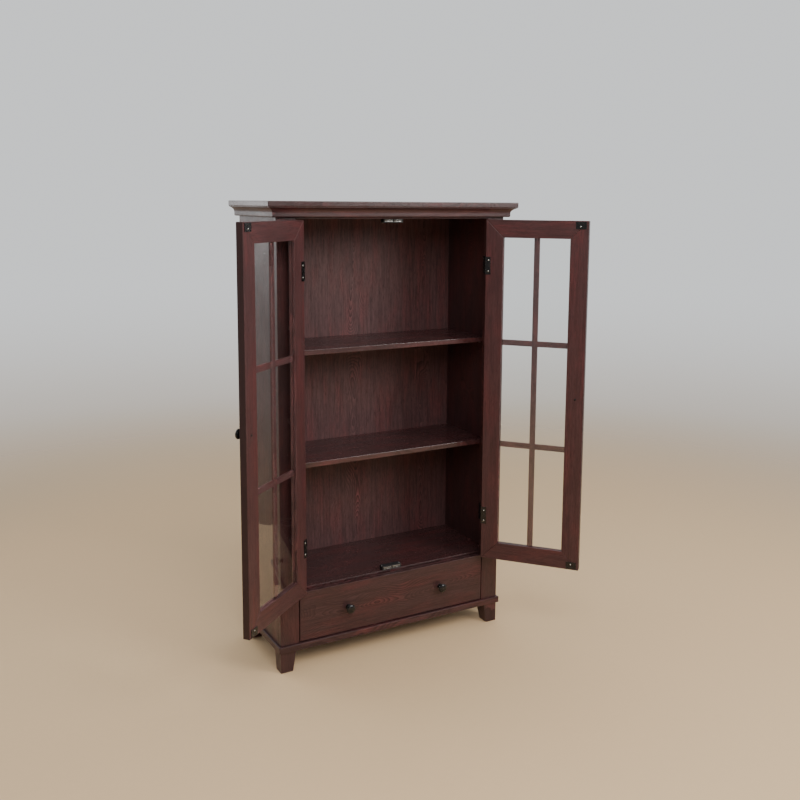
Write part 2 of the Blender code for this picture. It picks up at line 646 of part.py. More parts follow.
# ================================================================ drawer
def build_drawer(frame):
    """The drawer: front, two sides and back around a bottom that sits in their grooves."""
    empty = bpy.data.objects.new("drawer_slide_axis", None)
    empty.parent = frame
    GUIDES.objects.link(empty)
    place = Place(empty)
    front_half = HALF_OPENING - DRAWER_FRONT_GAP
    box_front = DRAWER_FRONT_THICKNESS + GAP
    side_inner = DRAWER_SIDE_OUTER - DRAWER_WALL
    back_inner = DRAWER_BACK - DRAWER_WALL
    bottom_z = DRAWER_BOX_BOTTOM + DRAWER_BOTTOM_RISE
    bottom_low = (-side_inner - DRAWER_GROOVE, DRAWER_FRONT_THICKNESS - DRAWER_GROOVE, bottom_z)
    bottom_high = (side_inner + DRAWER_GROOVE, back_inner + DRAWER_GROOVE,
                   bottom_z + DRAWER_BOTTOM_THICKNESS)
    box("drawer_bottom", place, bottom_low, bottom_high, "drawer_board", METAL_EDGE, 1)
    groove = box("drawer_groove", place, [value - GAP for value in bottom_low],
                 [value + GAP for value in bottom_high])
    front = box("drawer_front", place, (-front_half, 0.0, DRAWER_FRONT_BOTTOM),
                (front_half, DRAWER_FRONT_THICKNESS, DRAWER_FRONT_TOP), "mahogany_foil")
    boolean(front, groove)
    for side, word in ((-1, "left"), (1, "right")):
        low_x = side_inner if side > 0 else -DRAWER_SIDE_OUTER
        wall = box(f"drawer_side_{word}", place, (low_x, box_front, DRAWER_BOX_BOTTOM),
                   (low_x + DRAWER_WALL, DRAWER_BACK, DRAWER_BOX_TOP), "drawer_board", WOOD_EDGE, 1)
        boolean(wall, groove)
        height = (DRAWER_FRONT_BOTTOM + DRAWER_FRONT_TOP) / 2
        knob(f"drawer_knob_{word}", place, (side * DRAWER_KNOB_SPACING / 2, -GAP, height))
    back = box("drawer_back", place, (GAP - side_inner, back_inner, DRAWER_BOX_BOTTOM),
               (side_inner - GAP, DRAWER_BACK, DRAWER_BOX_TOP), "drawer_board", WOOD_EDGE, 1)
    boolean(back, groove)


# ================================================================ whole
def centre_over_origin(frame):
    """Shift the whole model so that its box, doors included, is centred over the origin."""
    depsgraph = bpy.context.evaluated_depsgraph_get()
    points = []
    for obj in PARTS.objects:
        evaluated = obj.evaluated_get(depsgraph)
        points += [evaluated.matrix_world @ vertex.co for vertex in evaluated.to_mesh().vertices]
        evaluated.to_mesh_clear()
    for axis in (0, 1):
        values = [point[axis] for point in points]
        frame.location[axis] = -(min(values) + max(values)) / 2


def shade():
    """Smooth shading with creases, so that rounded edges and turned pieces read as round."""
    for obj in PARTS.objects:
        obj.data.shade_smooth()
        obj.data.set_sharp_from_angle(angle=math.radians(35))


clear_scene()
PARTS = new_collection("display_bookcase")
CUTTERS = new_collection("cutters")
GUIDES = new_collection("guides")
cabinet = bpy.data.objects.new("cabinet_frame", None)
GUIDES.objects.link(cabinet)
build_carcass(Place(cabinet))
for hinge_side, side_word, open_angle in ((-1, "left", LEFT_DOOR_OPEN), (1, "right", RIGHT_DOOR_OPEN)):
    build_frame_leaves(cabinet, hinge_side, side_word)
    build_door(cabinet, hinge_side, side_word, open_angle)
build_drawer(cabinet)
shade()
bpy.context.view_layer.update()
centre_over_origin(cabinet)
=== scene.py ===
"""Looks for a glazed display bookcase: wood-grain foil, glass, black fittings and small fixings.

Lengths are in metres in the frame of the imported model: +Z is up and the front faces -Y. Places come
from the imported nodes. A door's own axes have their origin on its pins, with x towards its free edge,
y towards its inner face and z up.
"""

import json
import math

import bmesh
import bpy
from mathutils import Matrix, Vector

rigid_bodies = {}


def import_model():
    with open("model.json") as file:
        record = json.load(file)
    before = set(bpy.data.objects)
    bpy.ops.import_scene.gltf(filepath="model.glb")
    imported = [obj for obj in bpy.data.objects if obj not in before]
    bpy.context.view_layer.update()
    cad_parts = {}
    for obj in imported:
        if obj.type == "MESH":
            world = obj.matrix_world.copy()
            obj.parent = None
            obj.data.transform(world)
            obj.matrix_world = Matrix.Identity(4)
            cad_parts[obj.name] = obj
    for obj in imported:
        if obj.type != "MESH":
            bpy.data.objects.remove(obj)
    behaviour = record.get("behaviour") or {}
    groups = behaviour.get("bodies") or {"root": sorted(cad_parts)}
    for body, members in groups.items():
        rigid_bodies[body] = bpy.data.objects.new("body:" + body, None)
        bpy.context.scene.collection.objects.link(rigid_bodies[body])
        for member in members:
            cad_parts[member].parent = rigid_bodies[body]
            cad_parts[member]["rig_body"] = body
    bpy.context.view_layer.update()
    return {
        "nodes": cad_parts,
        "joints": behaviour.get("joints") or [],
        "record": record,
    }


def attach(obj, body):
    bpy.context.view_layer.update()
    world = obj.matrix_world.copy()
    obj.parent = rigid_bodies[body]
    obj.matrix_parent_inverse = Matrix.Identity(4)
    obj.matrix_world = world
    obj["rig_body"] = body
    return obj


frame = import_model()
NODES = frame["nodes"]
JOINTS = {joint["name"]: joint for joint in frame["joints"]}
SIDES = {"left": -1, "right": 1}
ENDS = ("upper", "lower")

# ---------------------------------------------------------------- camera
CAMERA_FROM_FRONT = Vector((-1.3431, -2.4707, 1.3838))  # from the foot of the front, at its middle
CAMERA_TURN = 29.72             # degrees to the right of straight at the cabinet
CAMERA_DIP = 7.83
CAMERA_ROLL = 0.45
LENS_MM = 42.45
SENSOR_MM = 36.0
LENS_SHIFT = (-0.02, -0.085)

# ---------------------------------------------------------------- light and floor
WALL_GLOW = (0.90, 0.92, 0.935)         # behind the cabinet
FRONT_GLOW = (0.30, 0.30, 0.305)        # in front of it
GROUND_GLOW = (0.58, 0.50, 0.41)        # below the horizon
WALL_SIDE = Vector((0.25, 0.97, 0.0))
WALL_SPREAD = (-0.75, 0.45)             # from the front's glow to the wall's, along WALL_SIDE
HORIZON_SPREAD = (-0.27, -0.08)         # from the ground's glow to the walls', by height
LAMPS = (                               # name, place, target, size, power, tint
    ("window_lamp", (1.85, -2.7, 2.30), (0.0, 0.0, 0.8), 1.4, 72.0, (1.0, 0.985, 0.96)),
    ("fill_lamp", (-0.7, -2.3, 2.60), (0.0, 0.0, 0.6), 1.8, 62.0, (1.0, 0.99, 0.98)),
    ("side_lamp", (-1.4, 1.7, 1.5), (-0.3, 0.1, 1.3), 0.9, 8.0, (1.0, 1.0, 1.0)),
)
FLOOR_RADIUS = 7.0
FLOOR_SIDES = 96
FLOOR_FADE = (1.5, 4.2)                 # distances over which the floor fades into the glow
FLOOR_COLOUR = (0.70, 0.49, 0.28)
FLOOR_MOTTLE = 0.96                     # brightness of the floor's darker spots
FLOOR_ROUGHNESS = 0.85

# ---------------------------------------------------------------- wood grain
GRAIN = {                       # repeats per metre along and across the grain, detail, roughness
    "bend": (2.4, 5.0, 2.0, 0.5),
    "ripple": (9.0, 40.0, 3.0, 0.6),
    "patches": (5.0, 22.0, 3.0, 0.6),
    "bands": (7.0, 150.0, 2.0, 0.6),
    "streaks": (16.0, 480.0, 3.0, 0.65),
    "pores": (62.0, 1050.0, 1.0, 0.5),
}
RING_SPACING = 0.0105           # measured up the middle of an arch
RING_STEEPNESS = 3.2            # how much closer the rings lie beside the arches
RING_DEPTH = (0.80, -0.33)      # the bend's share in the depth of the heart, and the depth's offset
RING_RIPPLE = 0.0075
RING_START = 1.7                # keeps the boards away from the noise's own origin
LATE_WOOD = 1.7                 # the higher, the narrower the dark side of each ring
PLANK_HALF_WIDTH = 0.13         # the printed figure mirrors itself at this distance from its middle
WIDE_BOARD = 0.10               # boards this wide show the arched middle of the figure
STRAIGHT_GRAIN_SHIFT = 0.085    # narrower ones show the figure this far beside its middle
BAR_HALF_WIDTH = 0.00875        # of the glazing bars
WEAR_AND_HIGHLIGHT_WIDTH = 0.0010             # how far the wear and painted highlight of an arris reach
SEAM_WIDTH = 0.0007             # the painted highlight along the mitres of a door
SEAM_STRENGTH = 0.38
EDGE_BAND = (0.0003, 0.0009)    # how deep the dark band of a door's upright edges reaches
EDGE_BAND_STRENGTH = 0.9
PORE_DARKNESS = 0.6
PORE_DULLNESS = 0.16
RELIEF = {"pores": -0.7, "rings": -0.3, "streaks": 0.5}     # what each adds to the surface's height
RELIEF_DEPTH = 0.00016
SHEEN = 0.34                    # strength of the foil's surface reflection
SHEEN_RELIEF = 0.8              # strength of its relief
FLAT_BOARDS = ("lower_shelf", "upper_shelf", "cabinet_floor", "top_slab")
FLAT_GLOSS = (0.25, 0.52, 0.2)  # their roughness, reflection and relief: glossier than the rest
GOLDEN = 0.618034               # spreads turns and offsets evenly

# ---------------------------------------------------------------- fixings
# Each profile lists shares of the radius and of the rise, starting at the seat.
SCREW_SIDES = 24
SCREW_PROFILE = ((1.0, 0.0), (0.985, 0.30), (0.90, 0.62), (0.72, 0.86), (0.58, 0.95))
CROSS_ARM = 0.46                # the cross recess, as shares of the head's radius
CROSS_WIDTH = 0.11
CROSS_TAPER = (0.45, 0.6, 0.25)  # its floor, as shares of its outline and of the head's rise
LEAF_SCREW = (0.0024, 0.0010)   # radius and rise of each kind of screw head
STRIKE_SCREW = (0.0022, 0.0006)
CATCH_SCREW = (0.0019, 0.0007)
KNOB_SCREW = (0.0034, 0.0016)
LEAF_SCREW_SPREAD = 0.017       # hinge middle to each of its screws
LEAF_SCREW_PLACE = 0.58         # share of the flange's width, from the pin
STRIKE_SCREW_PLACE = (0.46, 0.34)   # shares of the plate's width and height
CATCH_SCREW_INSET = 0.0024
MAGNET_LENGTH = 0.0255
MAGNET_HEIGHT = 0.0057
MAGNET_DEPTH = 0.0018
MAGNET_FROM_MIDDLE = 0.0155
MAGNET_LIP = 0.0004             # how far the pole plates stand out, and the magnet stands back
MAGNET_PLATE = 0.0012
MAGNET_ROUND = 0.00015
CAM_RADIUS = 0.0075             # of the covers over the cam fittings
CAM_RISE = 0.0008
CAM_PROFILE = ((1.0, 0.0), (1.0, 0.6), (0.92, 1.0), (0.80, 1.0), (0.74, 0.45))
CAM_SIDES = 32
CAM_FROM_END = 0.034            # end of a board to the middle of each cover
CAM_FROM_EDGE = 0.045
NAIL_RADIUS = 0.0022
NAIL_RISE = 0.0006
NAIL_PROFILE = ((1.0, 0.0), (0.9, 0.6), (0.5, 1.0))
NAIL_SIDES = 12
NAIL_PITCH = 0.115
NAIL_INSET = 0.009
CREASE = math.radians(35)       # sharper edges than this are shaded as creases


# ================================================================ frames of the moving bodies
def door_frame(word):
    """Turns a door's own axes, with x mirrored on the right door, into the model's at rest."""
    joint = JOINTS[f"{word}_door_hinge"]
    side = SIDES[word]
    pin = Vector((joint["pos_m"][0], joint["pos_m"][1], 0.0))
    opened = Matrix.Rotation(-side * math.radians(joint["range_deg"][0]), 4, "Z")
    return Matrix.Translation(pin) @ opened @ Matrix.Diagonal((-side, 1.0, 1.0, 1.0))


DOOR_FRAMES = {word: door_frame(word) for word in SIDES}


def own_frame(node):
    """The frame in which a node's box lies straight: its door's, or the model's."""
    body = NODES[node]["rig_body"]
    word = body.split("_")[0]
    return DOOR_FRAMES[word] if body.endswith("_door") else Matrix.Identity(4)


def own_box(node):
    """Lowest and highest corner of a node in its own frame."""
    inverse = own_frame(node).inverted()
    points = [inverse @ vertex.co for vertex in NODES[node].data.vertices]
    low = Vector([min(point[axis] for point in points) for axis in range(3)])
    high = Vector([max(point[axis] for point in points) for axis in range(3)])
    return low, high


def facing(direction):
    """The rotation that turns +Z into a direction."""
    return Vector(direction).to_track_quat("Z", "Y").to_matrix().to_4x4()


# ================================================================ shader wiring
class Wiring:
    """Short ways to add nodes to the shader tree of a material or a world."""

    def __init__(self, owner):
        owner.use_nodes = True
        self.owner = owner
        self.tree = owner.node_tree
        self.shader = self.tree.nodes.get("Principled BSDF")

    def feed(self, socket, value):
        if isinstance(value, bpy.types.NodeSocket):
            self.tree.links.new(value, socket)
        else:
            socket.default_value = value

    def node(self, kind, settings, inputs, output=0):
        made = self.tree.nodes.new(kind)
        for name, value in settings.items():
            setattr(made, name, value)
        for name, value in inputs.items():
            self.feed(made.inputs[name], value)
        return made.outputs[output]

    def calc(self, operation, first, second=0.0, third=0.0):
        return self.node("ShaderNodeMath", {"operation": operation}, {0: first, 1: second, 2: third})

    def vector(self, operation, first, second, output=0):
        return self.node("ShaderNodeVectorMath", {"operation": operation}, {0: first, 1: second}, output)

    def dot(self, first, second):
        return self.vector("DOT_PRODUCT", first, second, 1)

    def ramp(self, value, low, high, start=0.0, end=1.0):
        """A smooth step from start to end as value goes from low to high."""
        settings = {"interpolation_type": "SMOOTHSTEP"}
        limits = {"Value": value, "From Min": low, "From Max": high, "To Min": start, "To Max": end}
        return self.node("ShaderNodeMapRange", settings, limits)

    def mix(self, share, first, second):
        """Two colours mixed."""
        return self.node("ShaderNodeMix", {"data_type": "RGBA"}, {0: share, 6: first, 7: second}, 2)

    def noise(self, vector, scale, detail, rough=0.5):
        inputs = {"Vector": vector, "Scale": scale, "Detail": detail, "Roughness": rough}
        return self.node("ShaderNodeTexNoise", {}, inputs)

    def place(self):
        """The point on the surface in the model's frame at rest."""
        return self.node("ShaderNodeTexCoord", {}, {}, 3)

    def bump(self, height, distance, strength):
        inputs = {"Height": height, "Distance": distance, "Strength": strength}
        self.feed(self.shader.inputs["Normal"], self.node("ShaderNodeBump", {}, inputs))

    def set(self, **values):
        """Sets or links inputs of the Principled shader; an underscore stands for a space."""
        for name, value in values.items():
            self.feed(self.shader.inputs[name.replace("_", " ")], value)
        return self.owner

    def output(self, shader):
        """Makes a shader the surface of the material."""
        self.feed(self.tree.nodes["Material Output"].inputs["Surface"], shader)


def new_material(name):
    return Wiring(bpy.data.materials.new(name))


def colour(red, green, blue):
    return (red, green, blue, 1.0)


# ================================================================ wood
# Each tone's pale arris colour stands for wear and for a painted highlight along the arrises and mitres.
WOOD_TONES = {
    "mahogany_foil": {"dark": colour(0.019, 0.0083, 0.0083), "ground": colour(0.069, 0.0305, 0.0305),
                      "red": colour(0.122, 0.0360, 0.0360), "wear_and_highlight": colour(0.140, 0.0700, 0.0620),
                      "rough": 0.34},
    "mahogany_door": {"dark": colour(0.023, 0.0086, 0.0088), "ground": colour(0.088, 0.0335, 0.0345),
                      "red": colour(0.146, 0.0390, 0.0400), "wear_and_highlight": colour(0.150, 0.0760, 0.0680),
                      "rough": 0.36},
    "mahogany_back": {"dark": colour(0.018, 0.0085, 0.0085), "ground": colour(0.122, 0.0540, 0.0530),
                      "red": colour(0.190, 0.0590, 0.0580), "wear_and_highlight": colour(0.100, 0.0560, 0.0500),
                      "rough": 0.50},
    "drawer_board": {"dark": colour(0.022, 0.0110, 0.0100), "ground": colour(0.052, 0.0240, 0.0200),
                     "red": colour(0.070, 0.0280, 0.0230), "wear_and_highlight": colour(0.120, 0.0800, 0.0650),
                     "rough": 0.50},
}


def board_axes(node):
    """A board's centre, half sizes and axes, each listed along its grain, across it and through it."""
    low, high = own_box(node)
    place = own_frame(node)
    half = (high - low) / 2
    order = sorted(range(3), key=lambda axis: -half[axis])
    axes = [(place.to_3x3() @ Vector([float(axis == other) for other in range(3)])) for axis in order]
    return place @ ((low + high) / 2), [half[axis] for axis in order], axes


def board_point(wiring, centre, axes):
    """The surface point measured from the board's centre along its axes, as three sockets."""
    away = wiring.vector("SUBTRACT", wiring.place(), centre)
    return [wiring.dot(away, axis) for axis in axes]


def joined(wiring, along, across, through):
    return wiring.node("ShaderNodeCombineXYZ", {}, {"X": along, "Y": across, "Z": through})


def stretched(wiring, vector, along, across):
    """A point scaled for a pattern that is longer along the grain than across it."""
    return wiring.vector("MULTIPLY", vector, (along, across, across))


def grain(wiring, point, pattern):
    """One of the patterns of the grain, from 0 to 1."""
    along, across, detail, rough = GRAIN[pattern]
    return wiring.noise(stretched(wiring, point, along, across), 1.0, detail, rough)


def growth_rings(wiring, along, across, through, number):
    """0 to 1 across each growth ring: arches where the board is near the heart, lines elsewhere."""
    shifted = wiring.calc("ADD", along, RING_START + number * GOLDEN)
    point = joined(wiring, shifted, across, through)
    depth = wiring.calc("MULTIPLY_ADD", grain(wiring, point, "bend"), *RING_DEPTH)
    folded = wiring.calc("PINGPONG", across, PLANK_HALF_WIDTH)
    spread = wiring.calc("MULTIPLY", folded, RING_STEEPNESS)
    squared = wiring.calc("MULTIPLY", spread, spread)
    radius = wiring.calc("SQRT", wiring.calc("MULTIPLY_ADD", depth, depth, squared))
    ripple = wiring.calc("MULTIPLY", grain(wiring, point, "ripple"), RING_RIPPLE)
    return wiring.calc("FRACT", wiring.calc("DIVIDE", wiring.calc("ADD", radius, ripple), RING_SPACING))


def insets(wiring, point, half):
    """How far a point lies inside each pair of faces."""
    return [wiring.calc("SUBTRACT", size, wiring.calc("ABSOLUTE", value))
            for value, size in zip(point, half)]


def edge_nearness(wiring, point, half):
    """1 on the arrises of a board and 0 from WEAR_AND_HIGHLIGHT_WIDTH inwards."""
    inset = insets(wiring, point, half)
    nearest = wiring.calc("MINIMUM", inset[0], inset[1])
    farther = wiring.calc("MAXIMUM", inset[0], inset[1])
    second = wiring.calc("MAXIMUM", nearest, wiring.calc("MINIMUM", farther, inset[2]))
    return wiring.ramp(second, WEAR_AND_HIGHLIGHT_WIDTH * 0.25, WEAR_AND_HIGHLIGHT_WIDTH, 1.0, 0.0)


def door_insets(wiring, node):
    """How far a point lies inside the door's outer side edges, and inside its top and bottom edges."""
    word = node.split("_")[0]
    low, high = own_box(f"{word}_hinge_stile")
    far = own_box(f"{word}_meeting_stile")[1]
    place = DOOR_FRAMES[word]
    middle = place @ Vector(((low.x + far.x) / 2, (low.y + high.y) / 2, (low.z + high.z) / 2))
    half = ((far.x - low.x) / 2, (high.z - low.z) / 2)
    axes = (place.to_3x3() @ Vector((1.0, 0.0, 0.0)), Vector((0.0, 0.0, 1.0)))
    return insets(wiring, board_point(wiring, middle, axes), half)


def dress_frame_member(wiring, node, base, wear_and_highlight_share, tone):
    """A painted highlight along the mitres, the arrises' wear and painted highlight, and a dark band on
    the door's upright edges.
    """
    beside, above = door_insets(wiring, node)
    apart = wiring.calc("ABSOLUTE", wiring.calc("SUBTRACT", beside, above))
    seam_highlight = wiring.ramp(apart, SEAM_WIDTH * 0.4, SEAM_WIDTH, SEAM_STRENGTH, 0.0)
    banded = wiring.mix(wiring.ramp(beside, *EDGE_BAND, EDGE_BAND_STRENGTH, 0.0), base, tone["dark"])
    return wiring.mix(wiring.calc("MAXIMUM", wear_and_highlight_share, seam_highlight), banded, tone["wear_and_highlight"])


def crossed_bars(wiring, point):
    """Grain runs along each bar of a lattice: up the middle one, and level in the others."""
    level = wiring.calc("GREATER_THAN", wiring.calc("ABSOLUTE", point[1]), BAR_HALF_WIDTH)
    swapped = [wiring.node("ShaderNodeMix", {}, {0: level, 2: one, 3: other})
               for one, other in ((point[0], point[1]), (point[1], point[0]))]
    return swapped + [point[2]]


def wood_colour(wiring, tone, whole, late, streaks, pores):
    """Ground and reddish patches, darkened by late wood, bands, streaks and pores in turn."""
    patches = grain(wiring, whole, "patches")
    bands = grain(wiring, whole, "bands")
    made = wiring.mix(wiring.ramp(patches, 0.42, 0.72), tone["ground"], tone["red"])
    strength = wiring.ramp(patches, 0.30, 0.70, 0.55, 0.95)
    for share in (wiring.calc("MULTIPLY", late, strength),
                  wiring.ramp(bands, 0.42, 0.66, 0.0, 0.34),
                  wiring.ramp(streaks, 0.38, 0.75, 0.0, 0.48),
                  wiring.calc("MULTIPLY", pores, PORE_DARKNESS)):
        made = wiring.mix(share, made, tone["dark"])
    return made


def wood(node, finish, number):
    """The foil of one board: growth rings, pores, reddish patches, arrises lightened by wear and a painted
    highlight, and a satin skin.
    """
    tone = WOOD_TONES[finish]
    wiring = new_material(f"{finish}_{node}")
    centre, half, axes = board_axes(node)
    point = board_point(wiring, centre, axes)
    wear_and_highlight = edge_nearness(wiring, point, half)
    if node.endswith("_glazing_bars"):
        point = crossed_bars(wiring, point)
    shift = 0.0 if 2 * half[1] >= WIDE_BOARD else STRAIGHT_GRAIN_SHIFT
    across = wiring.calc("ADD", point[1], shift)
    rings = growth_rings(wiring, point[0], across, point[2], number)
    late = wiring.calc("POWER", rings, LATE_WOOD)
    whole = joined(wiring, wiring.calc("ADD", point[0], number * GOLDEN), across, point[2])
    streaks = grain(wiring, whole, "streaks")
    pores = wiring.ramp(grain(wiring, whole, "pores"), 0.55, 0.68)
    base = wood_colour(wiring, tone, whole, late, streaks, pores)
    # The arrises are lightened in patches: partly wear, partly a painted highlight.
    patchy_arris = wiring.noise(wiring.place(), 60.0, 3.0, 0.7)
    wear_and_highlight_share = wiring.calc("MULTIPLY", wear_and_highlight, wiring.ramp(patchy_arris, 0.35, 0.70, 0.04, 0.34))
    if node.endswith(("_stile", "_rail")) and finish == "mahogany_door":
        base = dress_frame_member(wiring, node, base, wear_and_highlight_share, tone)
    else:
        base = wiring.mix(wear_and_highlight_share, base, tone["wear_and_highlight"])
    dull, gloss, depth = FLAT_GLOSS if node in FLAT_BOARDS else (tone["rough"], SHEEN, SHEEN_RELIEF)
    height = wiring.calc("MULTIPLY", pores, RELIEF["pores"])
    height = wiring.calc("MULTIPLY_ADD", late, RELIEF["rings"], height)
    height = wiring.calc("MULTIPLY_ADD", streaks, RELIEF["streaks"], height)
    wiring.bump(height, RELIEF_DEPTH, depth)
    handled = wiring.noise(whole, 9.0, 3.0, 0.6)
    sheen = wiring.ramp(handled, 0.25, 0.75, dull - 0.04, dull + 0.07)
    rough = wiring.calc("MULTIPLY_ADD", pores, PORE_DULLNESS, sheen)
    return wiring.set(Base_Color=base, Roughness=rough, Specular_IOR_Level=gloss)


# ================================================================ glass, metal and plastic
def clear_glass():
    """Clear float glass with faint smears; lamps shine through it."""
    wiring = new_material("clear_glass")
    smears = wiring.noise(stretched(wiring, wiring.place(), 6.0, 11.0), 1.0, 4.0, 0.6)
    wiring.bump(wiring.noise(wiring.place(), 7.0, 1.0), 0.0004, 0.10)
    tint = wiring.mix(smears, colour(0.965, 0.985, 0.975), colour(0.985, 0.995, 0.990))
    wiring.set(Base_Color=tint, Roughness=wiring.ramp(smears, 0.45, 0.80, 0.0, 0.05),
               Transmission_Weight=1.0, IOR=1.46)
    through = wiring.node("ShaderNodeBsdfTransparent", {}, {"Color": colour(0.90, 0.92, 0.91)})
    shadow = wiring.node("ShaderNodeLightPath", {}, {}, 1)
    shaded = wiring.node("ShaderNodeMixShader", {}, {0: shadow, 1: wiring.shader.outputs[0], 2: through})
    wiring.output(shaded)
    return wiring.owner


def black_iron():
    """Black powder coat: a fine orange peel, dusty in places, and rubbed a little browner."""
    wiring = new_material("black_iron")
    peel = wiring.noise(wiring.place(), 1400.0, 2.0)
    rubbed = wiring.noise(wiring.place(), 130.0, 4.0, 0.65)
    base = wiring.mix(wiring.ramp(rubbed, 0.50, 0.75, 0.0, 0.8), colour(0.0085, 0.0085, 0.0090),
                      colour(0.026, 0.022, 0.020))
    wiring.bump(peel, 0.00006, 0.5)
    return wiring.set(Base_Color=base, Roughness=wiring.ramp(rubbed, 0.3, 0.7, 0.19, 0.34), Metallic=0.25)


def black_plastic():
    """Moulded plastic with a fine spark-eroded texture."""
    wiring = new_material("black_plastic")
    texture = wiring.noise(wiring.place(), 2200.0, 2.0)
    cloud = wiring.noise(wiring.place(), 90.0, 3.0)
    base = wiring.mix(cloud, colour(0.010, 0.010, 0.011), colour(0.022, 0.022, 0.023))
    wiring.bump(texture, 0.00005, 0.7)
    return wiring.set(Base_Color=base, Roughness=wiring.ramp(cloud, 0.3, 0.7, 0.40, 0.55))


def bright_steel():
    """Zinc-plated steel with fine brushing and dull spots."""
    wiring = new_material("bright_steel")
    brushed = wiring.noise(stretched(wiring, wiring.place(), 300.0, 3500.0), 1.0, 2.0)
    dull = wiring.noise(wiring.place(), 240.0, 3.0)
    base = wiring.mix(dull, colour(0.50, 0.50, 0.49), colour(0.72, 0.72, 0.70))
    wiring.bump(brushed, 0.00003, 0.5)
    return wiring.set(Base_Color=base, Roughness=wiring.ramp(dull, 0.3, 0.7, 0.22, 0.42), Metallic=1.0)


def ferrite():
    """The dark sintered magnet between the pole plates of a catch."""
    wiring = new_material("ferrite")
    grains = wiring.noise(wiring.place(), 2600.0, 3.0, 0.7)
    base = wiring.mix(grains, colour(0.012, 0.012, 0.012), colour(0.045, 0.043, 0.042))
    wiring.bump(grains, 0.00005, 0.6)
    return wiring.set(Base_Color=base, Roughness=wiring.ramp(grains, 0.3, 0.7, 0.5, 0.75))


def cap_plastic():
    """Red-brown moulded plastic of the fitting covers."""
    wiring = new_material("cap_plastic")
    cloud = wiring.noise(wiring.place(), 160.0, 3.0)
    base = wiring.mix(cloud, colour(0.040, 0.017, 0.015), colour(0.066, 0.026, 0.022))
    wiring.bump(wiring.noise(wiring.place(), 1800.0, 2.0), 0.00005, 0.6)
    return wiring.set(Base_Color=base, Roughness=wiring.ramp(cloud, 0.3, 0.7, 0.38, 0.52))


FINISHES = {"clear_glass": clear_glass(), "black_iron": black_iron(), "black_plastic": black_plastic(),
            "bright_steel": bright_steel(), "ferrite": ferrite(), "cap_plastic": cap_plastic()}


def dress_nodes():
    """Gives every CAD node its finish; each board has a figure of its own."""
    for number, part in enumerate(frame["record"]["subparts"]):
        finish = part["material_slot"]
        made = FINISHES[finish] if finish in FINISHES else wood(part["node"], finish, number)
        mesh = NODES[part["node"]].data
        mesh.materials.clear()
        mesh.materials.append(made)


# ================================================================ small pieces
def piece(name, shape, place, body, slot, *materials):
    """Turns a bmesh into a piece that stands at a place, rides on a body and takes the given materials;
    slot is not used.
    """
    mesh = bpy.data.meshes.new(name)
    bmesh.ops.transform(shape, matrix=place, verts=shape.verts)
    bmesh.ops.recalc_face_normals(shape, faces=shape.faces)
    shape.to_mesh(mesh)
    shape.free()
    mesh.shade_smooth()
    mesh.set_sharp_from_angle(angle=CREASE)
    for material in materials:
        mesh.materials.append(material)
    made = bpy.data.objects.new(name, mesh)
    bpy.context.scene.collection.objects.link(made)
    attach(made, body)


def ring_of(shape, radius, height, sides):
    """A level ring of vertices."""
    return [shape.verts.new((radius * math.cos(turn), radius * math.sin(turn), height))
            for turn in (2 * math.pi * step / sides for step in range(sides))]


def skin(shape, lower, upper):
    """Faces between two rings of the same number of vertices."""
    for index in range(len(lower)):
        after = (index + 1) % len(lower)
        shape.faces.new((lower[index], lower[after], upper[after], upper[index]))


def cross_outline(arm, width):
    """The twelve corners of a plus sign, anticlockwise."""
    quarter = [(arm, -width), (arm, width), (width, width)]
    corners = []
    for turn in range(4):
        for x, y in quarter:
            for _ in range(turn):
                x, y = -y, x
            corners.append((x, y))
    return corners


def screw_head(radius, rise):
    """A raised countersunk head with a tapered cross recess, standing on z = 0."""
    shape = bmesh.new()
    rings = [ring_of(shape, radius * share, rise * height, SCREW_SIDES) for share, height in SCREW_PROFILE]
    for lower, upper in zip(rings, rings[1:]):
        skin(shape, lower, upper)
    shape.faces.new(list(reversed(rings[0])))
    outline = cross_outline(radius * CROSS_ARM, radius * CROSS_WIDTH)
    rim = [shape.verts.new((x, y, rise)) for x, y in outline]
    deep = [shape.verts.new((x * CROSS_TAPER[0], y * CROSS_TAPER[1], rise * CROSS_TAPER[2]))
            for x, y in outline]
    skin(shape, deep, rim)
    shape.faces.new(deep)
    loops = []
    for loop in (rings[-1], rim):
        loops += [shape.edges.get(pair) for pair in zip(loop, loop[1:] + loop[:1])]
    bmesh.ops.triangle_fill(shape, edges=loops, use_beauty=True)
    return shape


def turned(profile, radius, rise, sides):
    """A closed shape turned about z; its profile holds shares of its radius and its rise."""
    shape = bmesh.new()
    rings = [ring_of(shape, radius * share, rise * height, sides) for share, height in profile]
    for lower, upper in zip(rings, rings[1:]):
        skin(shape, lower, upper)
    for ring, (_, height) in ((rings[0], profile[0]), (rings[-1], profile[-1])):
        tip = shape.verts.new((0.0, 0.0, rise * height))
        for index in range(sides):
            shape.faces.new((ring[index], ring[(index + 1) % sides], tip))
    return shape


def screw(name, point, outward, body, size, turn, slot):
    """A screw head on a surface; turn is the angle at which its cross came to rest."""
    place = Matrix.Translation(point) @ facing(outward) @ Matrix.Rotation(turn, 4, "Z")
    piece(name, screw_head(*size), place, body, slot, FINISHES[slot])


